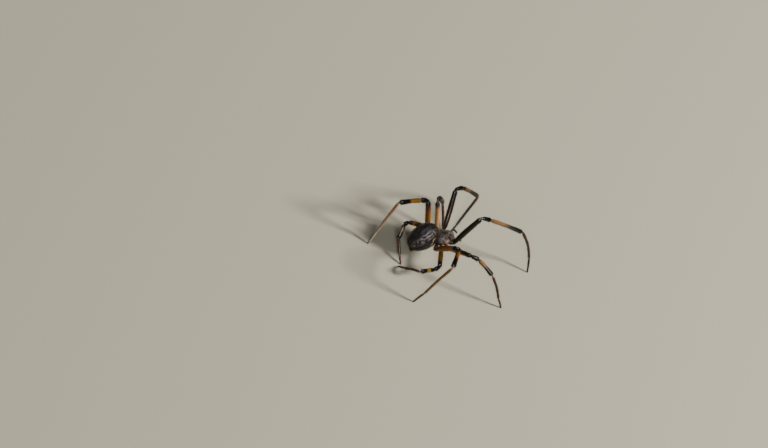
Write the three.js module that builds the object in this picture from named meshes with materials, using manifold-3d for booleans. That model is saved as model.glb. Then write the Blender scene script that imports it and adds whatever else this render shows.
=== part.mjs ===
// Black widow spider: a young female with banded legs, standing on her eight feet.
// Millimetres. +X is the way she faces, +Y is her left, +Z is up and the floor is z = 0.
// The origin is on the floor under the middle of the space that her legs span.

import * as THREE from 'three';
import { mergeVertices } from 'three/addons/utils/BufferGeometryUtils.js';
import Module from 'manifold-3d';

const wasm = await Module();
wasm.setup();

const rad = THREE.MathUtils.degToRad;
const smooth = THREE.MathUtils.smoothstep;

// Front half of the body: leg roots stand this high and the head end is raised.
const ROOT_HEIGHT = 3.3;
const BODY_PITCH = rad(12);
const CARAPACE_CENTRE = 0.5;
const CARAPACE_HALF_LENGTH = 2.4;
const CARAPACE_HALF_WIDTH = 1.95;
const CARAPACE_RIM = 0.6;
const CARAPACE_DOME = 0.92;
const CORE_HALF = new THREE.Vector3(1.45, 0.92, 0.45);
const STERNUM_HALF = new THREE.Vector3(1.4, 0.98, 0.19);
const STERNUM_LEVEL = -0.82;

// Abdomen: an egg whose front end is lifted. The spinnerets stand on it a little under its
// tail end and point a little more downwards than it does.
const ABDOMEN_CENTRE = new THREE.Vector3(-4.68, 0, 4.4);
const ABDOMEN_HALF_LENGTH = 3.7;
const ABDOMEN_HALF_WIDTH = 2.54;
const ABDOMEN_TILT = rad(50);
const SPINNERET_PLACE = rad(22);
const SPINNERET_AIM = rad(24);

// From the origin forwards and sideways to the middle of the front half of the body.
const BODY_PLACE = new THREE.Vector3(-1.872, 3.821, 0);

// Joint skin between two hard leg segments is left open by this much.
const JOINT_GAP = 0.22;
const SIDES = 9;

// Four pairs of legs, first pair foremost. The inner end of the coxa is a forward and
// sideways place on the body. Lengths and mid radii run femur, patella, tibia,
// metatarsus, tarsus.
const PAIRS = [
  {
    inner: [1.22, 1.02],
    lengths: [8.8, 2.2, 7.6, 8.4, 3.3],
    radii: [0.57, 0.48, 0.45, 0.28, 0.21],
  },
  {
    inner: [0.42, 1.24],
    lengths: [6.9, 1.85, 4.4, 5.6, 2.3],
    radii: [0.51, 0.5, 0.47, 0.26, 0.2],
  },
  {
    inner: [-0.42, 1.24],
    lengths: [5.6, 1.55, 3.3, 3.85, 1.9],
    radii: [0.51, 0.47, 0.45, 0.25, 0.2],
  },
  {
    inner: [-1.2, 1.04],
    lengths: [8.0, 1.9, 5.35, 8.25, 3.1],
    radii: [0.58, 0.53, 0.51, 0.28, 0.22],
  },
];

// Pose of each leg. Hip is how far forwards and sideways the coxa's outer end stands on the
// body. In whole degrees, swing is measured outwards from straight ahead and lift is up from
// level. The metatarsus has no lift here, it slopes as far as the floor asks, and arc is how
// far its middle is bowed.
const POSES = {
  left_1: {
    hip: [1.7, 2.3], swing: [64, 14, 10, 217, 216], lift: [47, -10, -36, null, -35], arc: 0.12,
  },
  left_2: {
    hip: [0.1, 2.85], swing: [117, 45, 28, 279, 249], lift: [68, -15, -49, null, -36], arc: 0.1,
  },
  left_3: {
    hip: [-0.8, 2.95], swing: [161, 206, 233, 258, 266], lift: [8, 5, -32, null, -34], arc: 0.1,
  },
  left_4: {
    hip: [-2.4, 2.05], swing: [112, 182, 180, 202, 211], lift: [66, 11, -3, null, -56], arc: 0.14,
  },
  right_1: {
    hip: [1.95, 1.85], swing: [2, 14, 24, 15, 82], lift: [64, -6, -8, null, -66], arc: 0.4,
  },
  right_2: {
    hip: [0.5, 2.7], swing: [72, 48, 63, 52, 46], lift: [32, 5, -11, null, -56], arc: 0.25,
  },
  right_3: {
    hip: [-1, 2.6], swing: [118, 157, 181, 234, 255], lift: [3, -4, -7, null, -37], arc: 0.14,
  },
  right_4: {
    hip: [-2.5, 2.25], swing: [80, 111, 127, 172, 186], lift: [49, 34, -3, null, -59], arc: 0.14,
  },
};
const SEGMENTS = ['femur', 'patella', 'tibia', 'metatarsus', 'tarsus'];

// Surface finish of each kind of part.
function finish(color, roughness) {
  return new THREE.MeshStandardMaterial({ color, roughness, metalness: 0 });
}

const LEG_COLOURS = {
  coxa: '#4a2c18',
  femur: '#c9762b',
  patella: '#1d1917',
  tibia: '#b96a2c',
  metatarsus: '#7d4a25',
  tarsus: '#5a3a26',
};

// A closed three.js geometry becomes a solid: equal corners are merged, empty faces are
// dropped, and the faces are turned outwards.
function toSolid(geometry) {
  const bare = geometry.clone();
  bare.deleteAttribute('normal');
  bare.deleteAttribute('uv');
  const merged = mergeVertices(bare, 1e-4);
  const spots = merged.attributes.position;
  const index = merged.index.array;
  const corner = [0, 1, 2].map(() => new THREE.Vector3());
  const kept = [];
  let volume = 0;
  for (let i = 0; i < index.length; i += 3) {
    const [a, b, c] = [index[i], index[i + 1], index[i + 2]];
    if (a === b || b === c || c === a) {
      continue;
    }
    kept.push([a, b, c]);
    [a, b, c].forEach((v, k) => corner[k].fromBufferAttribute(spots, v));
    volume += corner[0].dot(corner[1].clone().cross(corner[2]));
  }
  const facing = volume > 0 ? kept : kept.map(([a, b, c]) => [a, c, b]);
  return new wasm.Manifold(new wasm.Mesh({
    numProp: 3,
    vertProperties: new Float32Array(spots.array),
    triVerts: new Uint32Array(facing.flat()),
  }));
}

// The largest closed surface of a solid, as a geometry for a mesh.
function toGeometry(solid) {
  const shells = solid.decompose();
  const largest = shells.reduce((a, b) => (b.volume() > a.volume() ? b : a));
  const mesh = largest.getMesh();
  const spots = [];
  for (let i = 0; i < mesh.vertProperties.length; i += mesh.numProp) {
    spots.push(...mesh.vertProperties.slice(i, i + 3));
  }
  const geometry = new THREE.BufferGeometry();
  geometry.setAttribute('position', new THREE.Float32BufferAttribute(spots, 3));
  geometry.setIndex(Array.from(mesh.triVerts));
  geometry.computeVertexNormals();
  return geometry;
}

function fuse(geometries) {
  return geometries.map(toSolid).reduce((whole, piece) => whole.add(piece));
}

// Moves every corner of a geometry by a function of its place.
function reshape(geometry, move) {
  const spots = geometry.attributes.position;
  const spot = new THREE.Vector3();
  for (let i = 0; i < spots.count; i += 1) {
    move(spot.fromBufferAttribute(spots, i));
    spots.setXYZ(i, spot.x, spot.y, spot.z);
  }
  return geometry;
}

// A round rod turned on a lathe from rings of [distance along, radius], laid from one
// point towards another, with its middle bowed up and out by bow, square to its length.
function rod(rings, from, to, sides = SIDES, bow = 0) {
  const length = from.distanceTo(to);
  const profile = rings.map(([along, radius]) => new THREE.Vector2(radius, along));
  const geometry = new THREE.LatheGeometry(profile, sides);
  const along = to.clone().sub(from).normalize();
  const turn = new THREE.Quaternion().setFromUnitVectors(new THREE.Vector3(0, 1, 0), along);
  const square = new THREE.Vector3(0, 0, 1).addScaledVector(along, -along.z).normalize();
  return reshape(geometry, (spot) => {
    const lift = bow * Math.sin(Math.PI * THREE.MathUtils.clamp(spot.y / length, 0, 1));
    spot.applyQuaternion(turn).add(from).addScaledVector(square, lift);
  });
}

// An ellipsoid from a sphere.
function ball(centre, half, across = 9, down = 6) {
  const geometry = new THREE.SphereGeometry(1, across, down);
  geometry.scale(half.x, half.y, half.z);
  geometry.translate(centre.x, centre.y, centre.z);
  return geometry;
}

// Places on the front half of the body, which is pitched about the leg roots.
const bodyTurn = new THREE.Quaternion().setFromAxisAngle(
  new THREE.Vector3(0, 1, 0),
  -BODY_PITCH,
);
function onBody(x, y, z) {
  const place = new THREE.Vector3(x, y, z).applyQuaternion(bodyTurn);
  place.z += ROOT_HEIGHT;
  return place;
}

const spider = new THREE.Group();
spider.name = 'black_widow_spider';
spider.position.copy(BODY_PLACE);
const front = new THREE.Group();
front.position.z = ROOT_HEIGHT;
front.quaternion.copy(bodyTurn);
spider.add(front);

function place(group, name, solid, material) {
  const mesh = new THREE.Mesh(toGeometry(solid), material);
  mesh.name = name;
  group.add(mesh);
}

// Carapace: a pear-shaped shield, blunt and high at the head, dented where the muscles of
// the stomach are anchored.
function carapacePoint(unit) {
  const head = smooth(unit.x, -0.1, 0.75);
  const blunt = Math.sqrt(1 + Math.max(0, unit.x) ** 2);
  const dent = 0.2 * Math.exp(-(((unit.x + 0.22) / 0.16) ** 2) - ((unit.y / 0.22) ** 2));
  const x = CARAPACE_CENTRE + CARAPACE_HALF_LENGTH * unit.x;
  const y = CARAPACE_HALF_WIDTH * unit.y * blunt * (1 - 0.3 * head);
  const top = CARAPACE_DOME * unit.z * blunt * (1 + 0.1 * head) - dent * unit.z;
  return new THREE.Vector3(x, y, CARAPACE_RIM + (unit.z > 0 ? top : 0.08 * unit.z));
}

const shield = new THREE.SphereGeometry(1, 26, 14);
shield.rotateX(Math.PI / 2);
reshape(shield, (spot) => spot.copy(carapacePoint(spot)));

// Core of the body between the leg roots, under the shield.
const core = rod(
  [[0, 0], [0, 0.85], [0.12, 1], [1.3, 1], [1.3, 0]],
  new THREE.Vector3(0, 0, 0),
  new THREE.Vector3(0, 0, 1),
  16,
);
core.scale(CORE_HALF.x, CORE_HALF.y, 1);
core.translate(0, 0, -CORE_HALF.z);

// Eight eyes in two rows across the head: [forward, sideways, radius] on the unit shield.
const EYES = [
  [0.93, 0.1, 0.13],
  [0.86, 0.33, 0.12],
  [0.8, 0.11, 0.13],
  [0.74, 0.39, 0.12],
];
const eyes = [1, -1].flatMap((side) => EYES.map(([ahead, aside, radius]) => {
  const height = Math.sqrt(Math.max(0, 1 - ahead ** 2 - (aside ** 2) * (1 - ahead ** 2)));
  const unit = new THREE.Vector3(ahead, side * aside, height).normalize();
  const centre = carapacePoint(unit);
  return ball(centre, new THREE.Vector3(radius, radius, radius), 8, 6);
}));
place(front, 'carapace', fuse([shield, core, ...eyes]), finish('#5b4a3f', 0.55));

// Sternum: the shield plate below, wide in front and pointed behind, with the lip and the
// two mouth plates ahead of it.
const plate = new THREE.SphereGeometry(1, 16, 8);
plate.rotateX(Math.PI / 2);
reshape(plate, (spot) => {
  spot.y *= 1 + 0.28 * spot.x;
  spot.multiply(STERNUM_HALF);
  spot.z += STERNUM_LEVEL;
});
const mouth = [
  ball(new THREE.Vector3(1.45, 0, -0.82), new THREE.Vector3(0.34, 0.28, 0.15)),
  ball(new THREE.Vector3(1.72, 0.34, -0.78), new THREE.Vector3(0.5, 0.27, 0.17)),
  ball(new THREE.Vector3(1.72, -0.34, -0.78), new THREE.Vector3(0.5, 0.27, 0.17)),
];
place(front, 'sternum', fuse([plate, ...mouth]), finish('#3b2a20', 0.5));

// Jaws: two short upright bases, each with a curved fang, and the two feelers that
// reach forward beside them.
for (const [side, sign] of [['left', 1], ['right', -1]]) {
  const jawTop = new THREE.Vector3(2.62, sign * 0.37, 0.34);
  const jawTip = new THREE.Vector3(2.8, sign * 0.33, -0.92);
  const jaw = rod(
    [[0, 0], [0, 0.22], [0.12, 0.28], [0.5, 0.3], [0.95, 0.25], [1.2, 0.18], [1.27, 0]],
    jawTop,
    jawTip,
    10,
  );
  const fangRoot = new THREE.Vector3(2.79, sign * 0.33, -0.78);
  const fangTip = new THREE.Vector3(2.68, sign * 0.2, -1.32);
  const fang = rod([[0, 0], [0, 0.11], [0.3, 0.08], [0.56, 0]], fangRoot, fangTip, 7);
  place(front, `chelicera_${side}`, fuse([jaw, fang]), finish('#2a1b14', 0.35));

  const bends = [
    [2.2, 0.92, -0.12],
    [2.75, 1.22, 0.42],
    [3.3, 1.34, 0.46],
    [3.75, 1.3, 0.12],
    [4.2, 1.12, -0.55],
  ].map(([x, y, z]) => new THREE.Vector3(x, sign * y, z));
  const thickness = [0.17, 0.19, 0.2, 0.21, 0.12];
  const feeler = bends.slice(1).map((end, i) => {
    const start = bends[i];
    const length = start.distanceTo(end);
    const [a, b] = [thickness[i], thickness[i + 1]];
    return rod([[0, 0], [0, a], [length, b], [length, 0]], start, end, 7);
  });
  const knuckles = bends.map((spot, i) => (
    ball(spot, new THREE.Vector3(1, 1, 1).multiplyScalar(thickness[i] * 1.05), 7, 4)
  ));
  place(front, `palp_${side}`, fuse([...feeler, ...knuckles]), finish('#33241b', 0.5));
}

// Pedicel: the short waist between the two halves.
const waistFrom = onBody(-1.75, 0, 0.02);
const waistTo = waistFrom.clone().add(new THREE.Vector3(-0.62, 0, -0.08));
const waist = rod(
  [[0, 0], [0, 0.2], [0.1, 0.27], [0.5, 0.24], [0.6, 0.2], [0.6, 0]],
  waistFrom,
  waistTo,
  10,
);
place(spider, 'pedicel', toSolid(waist), finish('#2b1d16', 0.5));

// Abdomen: turned along its own axis, a little fuller in front of its middle.
const abdomenAxis = new THREE.Vector3(Math.cos(ABDOMEN_TILT), 0, Math.sin(ABDOMEN_TILT));
const abdomenDown = new THREE.Vector3(Math.sin(ABDOMEN_TILT), 0, -Math.cos(ABDOMEN_TILT));
function onAbdomen(share, below = 0) {
  return ABDOMEN_CENTRE.clone()
    .addScaledVector(abdomenAxis, ABDOMEN_HALF_LENGTH * share)
    .addScaledVector(abdomenDown, below);
}
function abdomenRadius(share) {
  return ABDOMEN_HALF_WIDTH * Math.sqrt(1 - share ** 2) * (1 + 0.08 * share);
}
const abdomenRings = [[0, 0]];
for (let i = 1; i < 19; i += 1) {
  const share = -Math.cos(Math.PI * (i / 19));
  abdomenRings.push([ABDOMEN_HALF_LENGTH * (share + 1), abdomenRadius(share)]);
}
abdomenRings.push([2 * ABDOMEN_HALF_LENGTH, 0]);
const egg = rod(abdomenRings, onAbdomen(-1), onAbdomen(1), 26);
place(spider, 'abdomen', toSolid(egg), finish('#241a16', 0.3));

// Spinnerets: three pairs of small cones round a raised ring, with the vent cone above.
const spinShare = -Math.cos(SPINNERET_PLACE);
const spinDown = abdomenAxis.clone().multiplyScalar(-Math.cos(SPINNERET_AIM))
  .addScaledVector(abdomenDown, Math.sin(SPINNERET_AIM));
const spinBase = onAbdomen(spinShare, abdomenRadius(spinShare)).addScaledVector(spinDown, 0.1);
const spinAcross = new THREE.Vector3(0, 1, 0);
const spinUp = new THREE.Vector3().crossVectors(spinAcross, spinDown);
const ring = rod(
  [[0, 0], [0, 0.6], [0.12, 0.56], [0.2, 0.4], [0.2, 0]],
  spinBase,
  spinBase.clone().add(spinDown),
  14,
);
const CONES = [
  { up: -0.24, aside: 0.23, length: 0.6, radius: 0.18 },
  { up: 0.0, aside: 0.13, length: 0.42, radius: 0.1 },
  { up: 0.19, aside: 0.25, length: 0.54, radius: 0.14 },
];
const cones = [1, -1].flatMap((sign) => CONES.map(({ up, aside, length, radius }) => {
  const start = spinBase.clone()
    .addScaledVector(spinUp, up)
    .addScaledVector(spinAcross, sign * aside)
    .addScaledVector(spinDown, 0.1);
  const end = start.clone().addScaledVector(spinDown, length);
  return rod([[0, 0], [0, radius], [length * 0.8, radius * 0.7], [length, 0]], start, end, 7);
}));
const ventStart = spinBase.clone().addScaledVector(spinUp, 0.44).addScaledVector(spinDown, 0.05);
const vent = rod(
  [[0, 0], [0, 0.12], [0.22, 0.08], [0.28, 0]],
  ventStart,
  ventStart.clone().add(spinDown),
  7,
);
place(spider, 'spinnerets', fuse([ring, ...cones, vent]), finish('#2d211b', 0.5));

// Points of one leg from its root to its foot. The metatarsus slopes by just enough for
// the foot to reach the floor.
function legPoints(pair, pose, sign) {
  const [ahead, aside] = pose.hip;
  const points = [onBody(ahead, sign * aside, 0)];
  const lifts = pose.lift.map((lift) => (lift === null ? null : rad(lift)));
  const fall = pair.lengths.reduce((sum, length, i) => (
    lifts[i] === null ? sum : sum + length * Math.sin(lifts[i])
  ), points[0].z);
  pair.lengths.forEach((length, i) => {
    const lift = lifts[i] === null ? -Math.asin(fall / length) : lifts[i];
    const swing = rad(pose.swing[i]);
    const step = new THREE.Vector3(
      Math.cos(lift) * Math.cos(swing),
      sign * Math.cos(lift) * Math.sin(swing),
      Math.sin(lift),
    );
    points.push(points[i].clone().addScaledVector(step, length));
  });
  return points;
}

// How far a segment stops short of its joint so that bent neighbours stay clear.
function trim(before, joint, after, radius) {
  const into = joint.clone().sub(before).normalize();
  const out = after.clone().sub(joint).normalize();
  return JOINT_GAP / 2 + 0.62 * radius * Math.tan(into.angleTo(out) / 2);
}

// Rings of one segment: [share of the length, share of the radius] between two narrowed
// ends. The femur is slimmest at its root, the tibia swells at its dark end and the
// metatarsus and tarsus thin out.
const OUTLINES = {
  femur: [[0.1, 0.84], [0.3, 1], [0.6, 1.02], [0.85, 0.94], [0.94, 0.96]],
  patella: [[0.25, 0.88], [0.6, 1.02], [0.85, 1.02]],
  tibia: [[0.1, 0.95], [0.35, 0.88], [0.6, 0.92], [0.85, 1.06]],
  metatarsus: [[0.1, 1.08], [0.4, 0.98], [0.8, 0.93]],
  tarsus: [[0.15, 1], [0.5, 0.9], [0.85, 0.74]],
};
const BOWS = { femur: 0.12, patella: 0.06, tibia: 0.12, tarsus: 0.06 };
const floorBlock = new THREE.BoxGeometry(80, 80, 10);
floorBlock.translate(0, 0, -5);
const underFloor = toSolid(floorBlock);

function legSegment(kind, from, to, radius, last, bow) {
  const length = from.distanceTo(to);
  const narrow = Math.min(0.3 * radius + 0.12, 0.2 * length);
  const base = kind === 'femur' ? 0.74 : 0.9;
  const rings = [[0, 0], [0, 0.62 * radius], [narrow, base * radius]];
  for (const [share, wide] of OUTLINES[kind]) {
    const along = share * length;
    if (along > narrow + 0.08 && along < length - narrow - 0.08) {
      rings.push([along, wide * radius]);
    }
  }
  const tip = last ? 0.72 : 0.9;
  rings.push([length - narrow, tip * radius], [length, 0.62 * radius], [length, 0]);
  return rod(rings, from, to, SIDES, bow);
}

PAIRS.forEach((pair, p) => {
  for (const [side, sign] of [['left', 1], ['right', -1]]) {
    const leg = `${side}_${p + 1}`;
    const points = legPoints(pair, POSES[leg], sign);
    const inner = onBody(pair.inner[0], sign * pair.inner[1], 0);

    // Coxa with its trochanter ring at the outer end.
    const reach = inner.distanceTo(points[0]);
    const rootTrim = trim(inner, points[0], points[1], 0.36);
    const hipLength = reach - rootTrim;
    const hip = [
      [0, 0], [0, 0.2], [0.12, 0.28], [0.45 * hipLength, 0.39], [0.66 * hipLength, 0.38],
      [0.74 * hipLength, 0.33], [0.82 * hipLength, 0.36], [0.94 * hipLength, 0.33],
      [hipLength, 0.22], [hipLength, 0],
    ];
    place(spider, `leg_${leg}_coxa`, toSolid(rod(hip, inner, points[0])), finish(
      LEG_COLOURS.coxa,
      0.5,
    ));

    SEGMENTS.forEach((kind, i) => {
      const start = points[i].clone();
      const end = points[i + 1].clone();
      const along = end.clone().sub(start).normalize();
      const radius = pair.radii[i];
      const before = i === 0 ? inner : points[i - 1];
      start.addScaledVector(along, trim(before, points[i], end, radius));
      const last = i === SEGMENTS.length - 1;
      if (last) {
        end.addScaledVector(along, 0.12);
      } else {
        end.addScaledVector(along, -trim(points[i], points[i + 1], points[i + 2], radius));
      }
      const bow = kind === 'metatarsus' ? POSES[leg].arc : BOWS[kind];
      let solid = toSolid(legSegment(kind, start, end, radius, last, bow));
      if (last) {
        solid = solid.subtract(underFloor);
      }
      place(spider, `leg_${leg}_${kind}`, solid, finish(LEG_COLOURS[kind], 0.45));
    });
  }
});

export default spider;
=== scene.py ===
import math
import random

import bmesh
import bpy
import numpy as np
from mathutils import Matrix, Vector, noise


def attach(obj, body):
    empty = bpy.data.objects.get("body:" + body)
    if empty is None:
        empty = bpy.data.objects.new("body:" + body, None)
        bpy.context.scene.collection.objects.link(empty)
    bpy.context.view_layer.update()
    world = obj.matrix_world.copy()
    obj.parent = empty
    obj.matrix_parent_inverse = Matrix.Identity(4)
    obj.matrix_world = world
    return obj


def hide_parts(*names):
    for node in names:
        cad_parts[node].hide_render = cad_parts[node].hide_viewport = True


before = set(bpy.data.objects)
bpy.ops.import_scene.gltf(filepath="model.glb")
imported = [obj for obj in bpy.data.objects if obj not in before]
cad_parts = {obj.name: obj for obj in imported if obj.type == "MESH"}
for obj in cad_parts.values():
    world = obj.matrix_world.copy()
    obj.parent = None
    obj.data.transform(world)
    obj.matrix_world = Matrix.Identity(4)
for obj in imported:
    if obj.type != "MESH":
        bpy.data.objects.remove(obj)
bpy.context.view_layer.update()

# Carapace: the horny shield over the front half of the body, pear-shaped, with a blunt
# raised head, a pit where the stomach muscles are anchored and shallow grooves that run
# out from it. Below it the core of the body fills the space between the leg roots.
MM = 0.001
UP = Vector((0, 0, 1))
ROOT_HEIGHT = 3.3
BODY_PLACE = Vector((-1.872, 3.821, 0.0))
BODY_TURN = Matrix.Rotation(math.radians(-12), 3, "Y")
BODY_SLOPE = 0.21
CARAPACE_MIDDLE = 0.5
CARAPACE_HALF = Vector((2.4, 1.95, 0.92))
CARAPACE_RIM = 0.6
CARAPACE_PIT = -0.22
CORE_MIDDLE = (0.1, 0.0, 0.08)
CORE_HALF = (1.75, 1.3, 0.66)


def on_body(x, y, z):
    """A place on the pitched front half of the body, from millimetres to metres."""
    spot = BODY_TURN @ Vector((x, y, z)) + BODY_PLACE
    return (spot + UP * ROOT_HEIGHT) * MM


def on_egg(middle, half, point):
    """Where a point of a unit ball lands on an egg in the front half of the body."""
    return on_body(*(m + h * part for m, h, part in zip(middle, half, point)))


def ease(value, low, high):
    """Nought below low, one above high, and an even slope that starts and ends flat."""
    share = min(1.0, max(0.0, (value - low) / (high - low)))
    return share * share * (3 - 2 * share)


def bell(value, middle, width):
    """One at the middle, falling to nought on both sides within about two widths."""
    return math.exp(-(((value - middle) / width) ** 2))


def carapace_spot(unit):
    """Where a point of a unit ball lands on the shield, in body millimetres."""
    head = ease(unit.x, -0.1, 0.75)
    blunt = math.sqrt(1 + max(0.0, unit.x) ** 2)
    pit = 0.2 * bell(unit.x, CARAPACE_PIT, 0.13) * bell(unit.y, 0, 0.2)
    neck = 0.07 * bell(unit.x - 0.55 * abs(unit.y), 0.12, 0.1)
    around = math.atan2(unit.y, unit.x - CARAPACE_PIT)
    away = math.hypot(unit.x - CARAPACE_PIT, unit.y)
    rays = 0.035 * math.cos(8 * around) * bell(away, 0.5, 0.28) * (1 - head)
    y = CARAPACE_HALF.y * unit.y * blunt * (1 - 0.3 * head)
    if unit.z > 0:
        z = CARAPACE_HALF.z * unit.z * blunt * (1 + 0.1 * head)
        z -= (pit + neck - rays) * unit.z
    else:
        z = 0.1 * unit.z
    return Vector((CARAPACE_MIDDLE + CARAPACE_HALF.x * unit.x, y, CARAPACE_RIM + z))


class Wire:
    """One socket of a material's nodes. Sums and products of wires add Math nodes."""

    def __init__(self, tree, socket=None):
        self.tree = tree
        self.socket = socket

    def node(self, kind, settings=(), sockets=(), out=0):
        """Adds a node, with its settings first and then its sockets' values or links."""
        made = self.tree.nodes.new(kind)
        for key, value in dict(settings).items():
            if key == "stops":
                stops = made.color_ramp.elements
                while len(stops) < len(value):
                    stops.new(1.0)
                for stop, (place, colour) in zip(stops, value):
                    stop.position = place
                    stop.color = colour
            else:
                setattr(made, key, value)
        for key, value in dict(sockets).items():
            if isinstance(value, Wire):
                self.tree.links.new(value.socket, made.inputs[key])
            else:
                made.inputs[key].default_value = value
        return Wire(self.tree, made.outputs[out])

    def maths(self, operation, *others):
        """This wire and others through one Math node."""
        values = dict(enumerate((self,) + others))
        return self.node("ShaderNodeMath", {"operation": operation}, values)

    def __add__(self, other):
        return self.maths("ADD", other)

    __radd__ = __add__

    def __sub__(self, other):
        return self.maths("SUBTRACT", other)

    def __rsub__(self, other):
        return self.node("ShaderNodeMath", {"operation": "SUBTRACT"}, {0: other, 1: self})

    def __mul__(self, other):
        return self.maths("MULTIPLY", other)

    __rmul__ = __mul__

    def __truediv__(self, other):
        return self.maths("DIVIDE", other)

    def __rtruediv__(self, other):
        return self.node("ShaderNodeMath", {"operation": "DIVIDE"}, {0: other, 1: self})

    def rise(self, low, high):
        """Nought below low and one above high, eased between them."""
        return self.node(
            "ShaderNodeMapRange",
            {"interpolation_type": "SMOOTHSTEP"},
            {"Value": self, "From Min": low, "From Max": high},
        )

    def near(self, place, width):
        """One at a place, falling to nought a width away on either side."""
        return 1 - (self - place).maths("ABSOLUTE").rise(width * 0.35, width)

    def speckle(self, scale, detail=3.0, stretch=(1, 1, 1), turn=(0, 0, 0)):
        """Noise on the piece's own coordinates, scale in marks per metre, drawn out by
        stretch along its axes once these are turned."""
        spot = self.node("ShaderNodeTexCoord", out="Object")
        sockets = {"Vector": spot, "Rotation": turn, "Scale": stretch}
        spot = self.node("ShaderNodeMapping", {"vector_type": "TEXTURE"}, sockets)
        sockets = {"Vector": spot, "Scale": scale, "Detail": detail}
        return self.node("ShaderNodeTexNoise", {}, sockets)

    def kept(self, name):
        """A value kept on the corners of the piece, such as the place along a leg."""
        return self.node("ShaderNodeAttribute", {"attribute_name": name}, out="Fac")

    def mix(self, share, below, above, way="MIX"):
        """The colour below with a share of the colour above mixed in or multiplied."""
        settings = {"data_type": "RGBA", "blend_type": way}
        return self.node("ShaderNodeMix", settings, {0: share, 6: below, 7: above}, out=2)

    def blend(self, below, above):
        """The colour below where this wire is nought and the colour above where it is one."""
        return self.mix(self, below, above)


def tint(code):
    """A colour written as six hex digits, as the shader's linear light."""
    parts = [int(code[i:i + 2], 16) / 255 for i in (0, 2, 4)]
    light = [((p + 0.055) / 1.055) ** 2.4 if p > 0.04 else p / 12.92 for p in parts]
    return (*light, 1.0)


GRAIN_DARK = (0.62, 0.6, 0.6, 1.0)
GRAIN_SHADE = 0.4
GRAIN_GLOSS = 0.22
GRAIN_DEPTH = 0.6


def finish(name, colour, roughness, grain, relief, extras=(), paint=None, grooves=None):
    """A material of one surface: colour, roughness and relief, all with fine grain.
    The grain is in marks per metre and the relief in millimetres. The colour is six hex
    digits, or paint(wire) gives it, and grooves(wire) is a height added to the grain."""
    made = bpy.data.materials.new(name)
    made.use_nodes = True
    tree = made.node_tree
    shader = tree.nodes["Principled BSDF"]
    wire = Wire(tree)
    fine = wire.speckle(grain)
    base = paint(wire) if paint else tint(colour)
    shade = fine.rise(0.3, 0.75) * GRAIN_SHADE
    dark = wire.mix(1.0, base, GRAIN_DARK, "MULTIPLY")
    height = fine + grooves(wire) if grooves else fine
    sockets = {"Height": height, "Strength": GRAIN_DEPTH, "Distance": relief * MM}
    for key, value in (
        ("Base Color", shade.blend(base, dark)),
        ("Roughness", roughness + (fine - 0.5) * GRAIN_GLOSS),
        ("Normal", wire.node("ShaderNodeBump", {}, sockets)),
    ):
        tree.links.new(value.socket, shader.inputs[key])
    for key, value in dict(extras).items():
        shader.inputs[key].default_value = value
    return made


def settle(name, shape, material, nodes=()):
    """Turns a finished shape into a piece that rides on the body and stands for nodes."""
    bmesh.ops.recalc_face_normals(shape, faces=shape.faces)
    mesh = bpy.data.meshes.new(name)
    shape.to_mesh(mesh)
    shape.free()
    mesh.shade_smooth()
    piece = bpy.data.objects.new(name, mesh)
    bpy.context.scene.collection.objects.link(piece)
    piece.data.materials.append(material)
    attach(piece, "root")
    if nodes:
        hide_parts(*nodes)


def horn_with_painted_light(wire):
    """Dark horn with pale patches of painted highlight, and painted shade in rusty brown
    towards the waist and under the rim.
    """
    # Painted highlight: pale grey-brown patches stand for glints of the light on the horn.
    painted_glint_patches = wire.speckle(1300.0, 4.0).rise(0.44, 0.6)
    horn = painted_glint_patches.blend(tint("33271f"), tint("8d7a6b"))
    spot = wire.node("ShaderNodeTexCoord", out="Object")
    ahead = wire.node("ShaderNodeSeparateXYZ", {}, {0: spot}) / MM - BODY_PLACE.x
    height = wire.node("ShaderNodeSeparateXYZ", {}, {0: spot}, out=2) / MM
    # Painted shade: the rear of the shield, next to the abdomen, is darkened to rusty brown.
    painted_shade_at_rear = 1 - (ahead + wire.speckle(1500.0) - 0.5).rise(-1.2, -0.1)
    above_roots = height - ahead * BODY_SLOPE - ROOT_HEIGHT
    # Painted shade: below the shield's rim the body is darkened too.
    below = 1 - above_roots.rise(CARAPACE_RIM, CARAPACE_RIM + 0.2)
    return painted_shade_at_rear.maths("MAXIMUM", below * 0.95).blend(horn, tint("271711"))


shield_finish = finish(
    "carapace_horn", None, 0.55, 9000.0, 0.025, {"Specular IOR Level": 0.25}, horn_with_painted_light
)
shield = bmesh.new()
bmesh.ops.create_uvsphere(shield, u_segments=72, v_segments=40, radius=1.0)
for vert in shield.verts:
    vert.co = on_body(*carapace_spot(vert.co))
core = bmesh.ops.create_uvsphere(shield, u_segments=32, v_segments=16, radius=1.0)["verts"]
for vert in core:
    vert.co = on_egg(CORE_MIDDLE, CORE_HALF, vert.co)
settle("carapace_skin", shield, shield_finish, ["carapace"])


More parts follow.
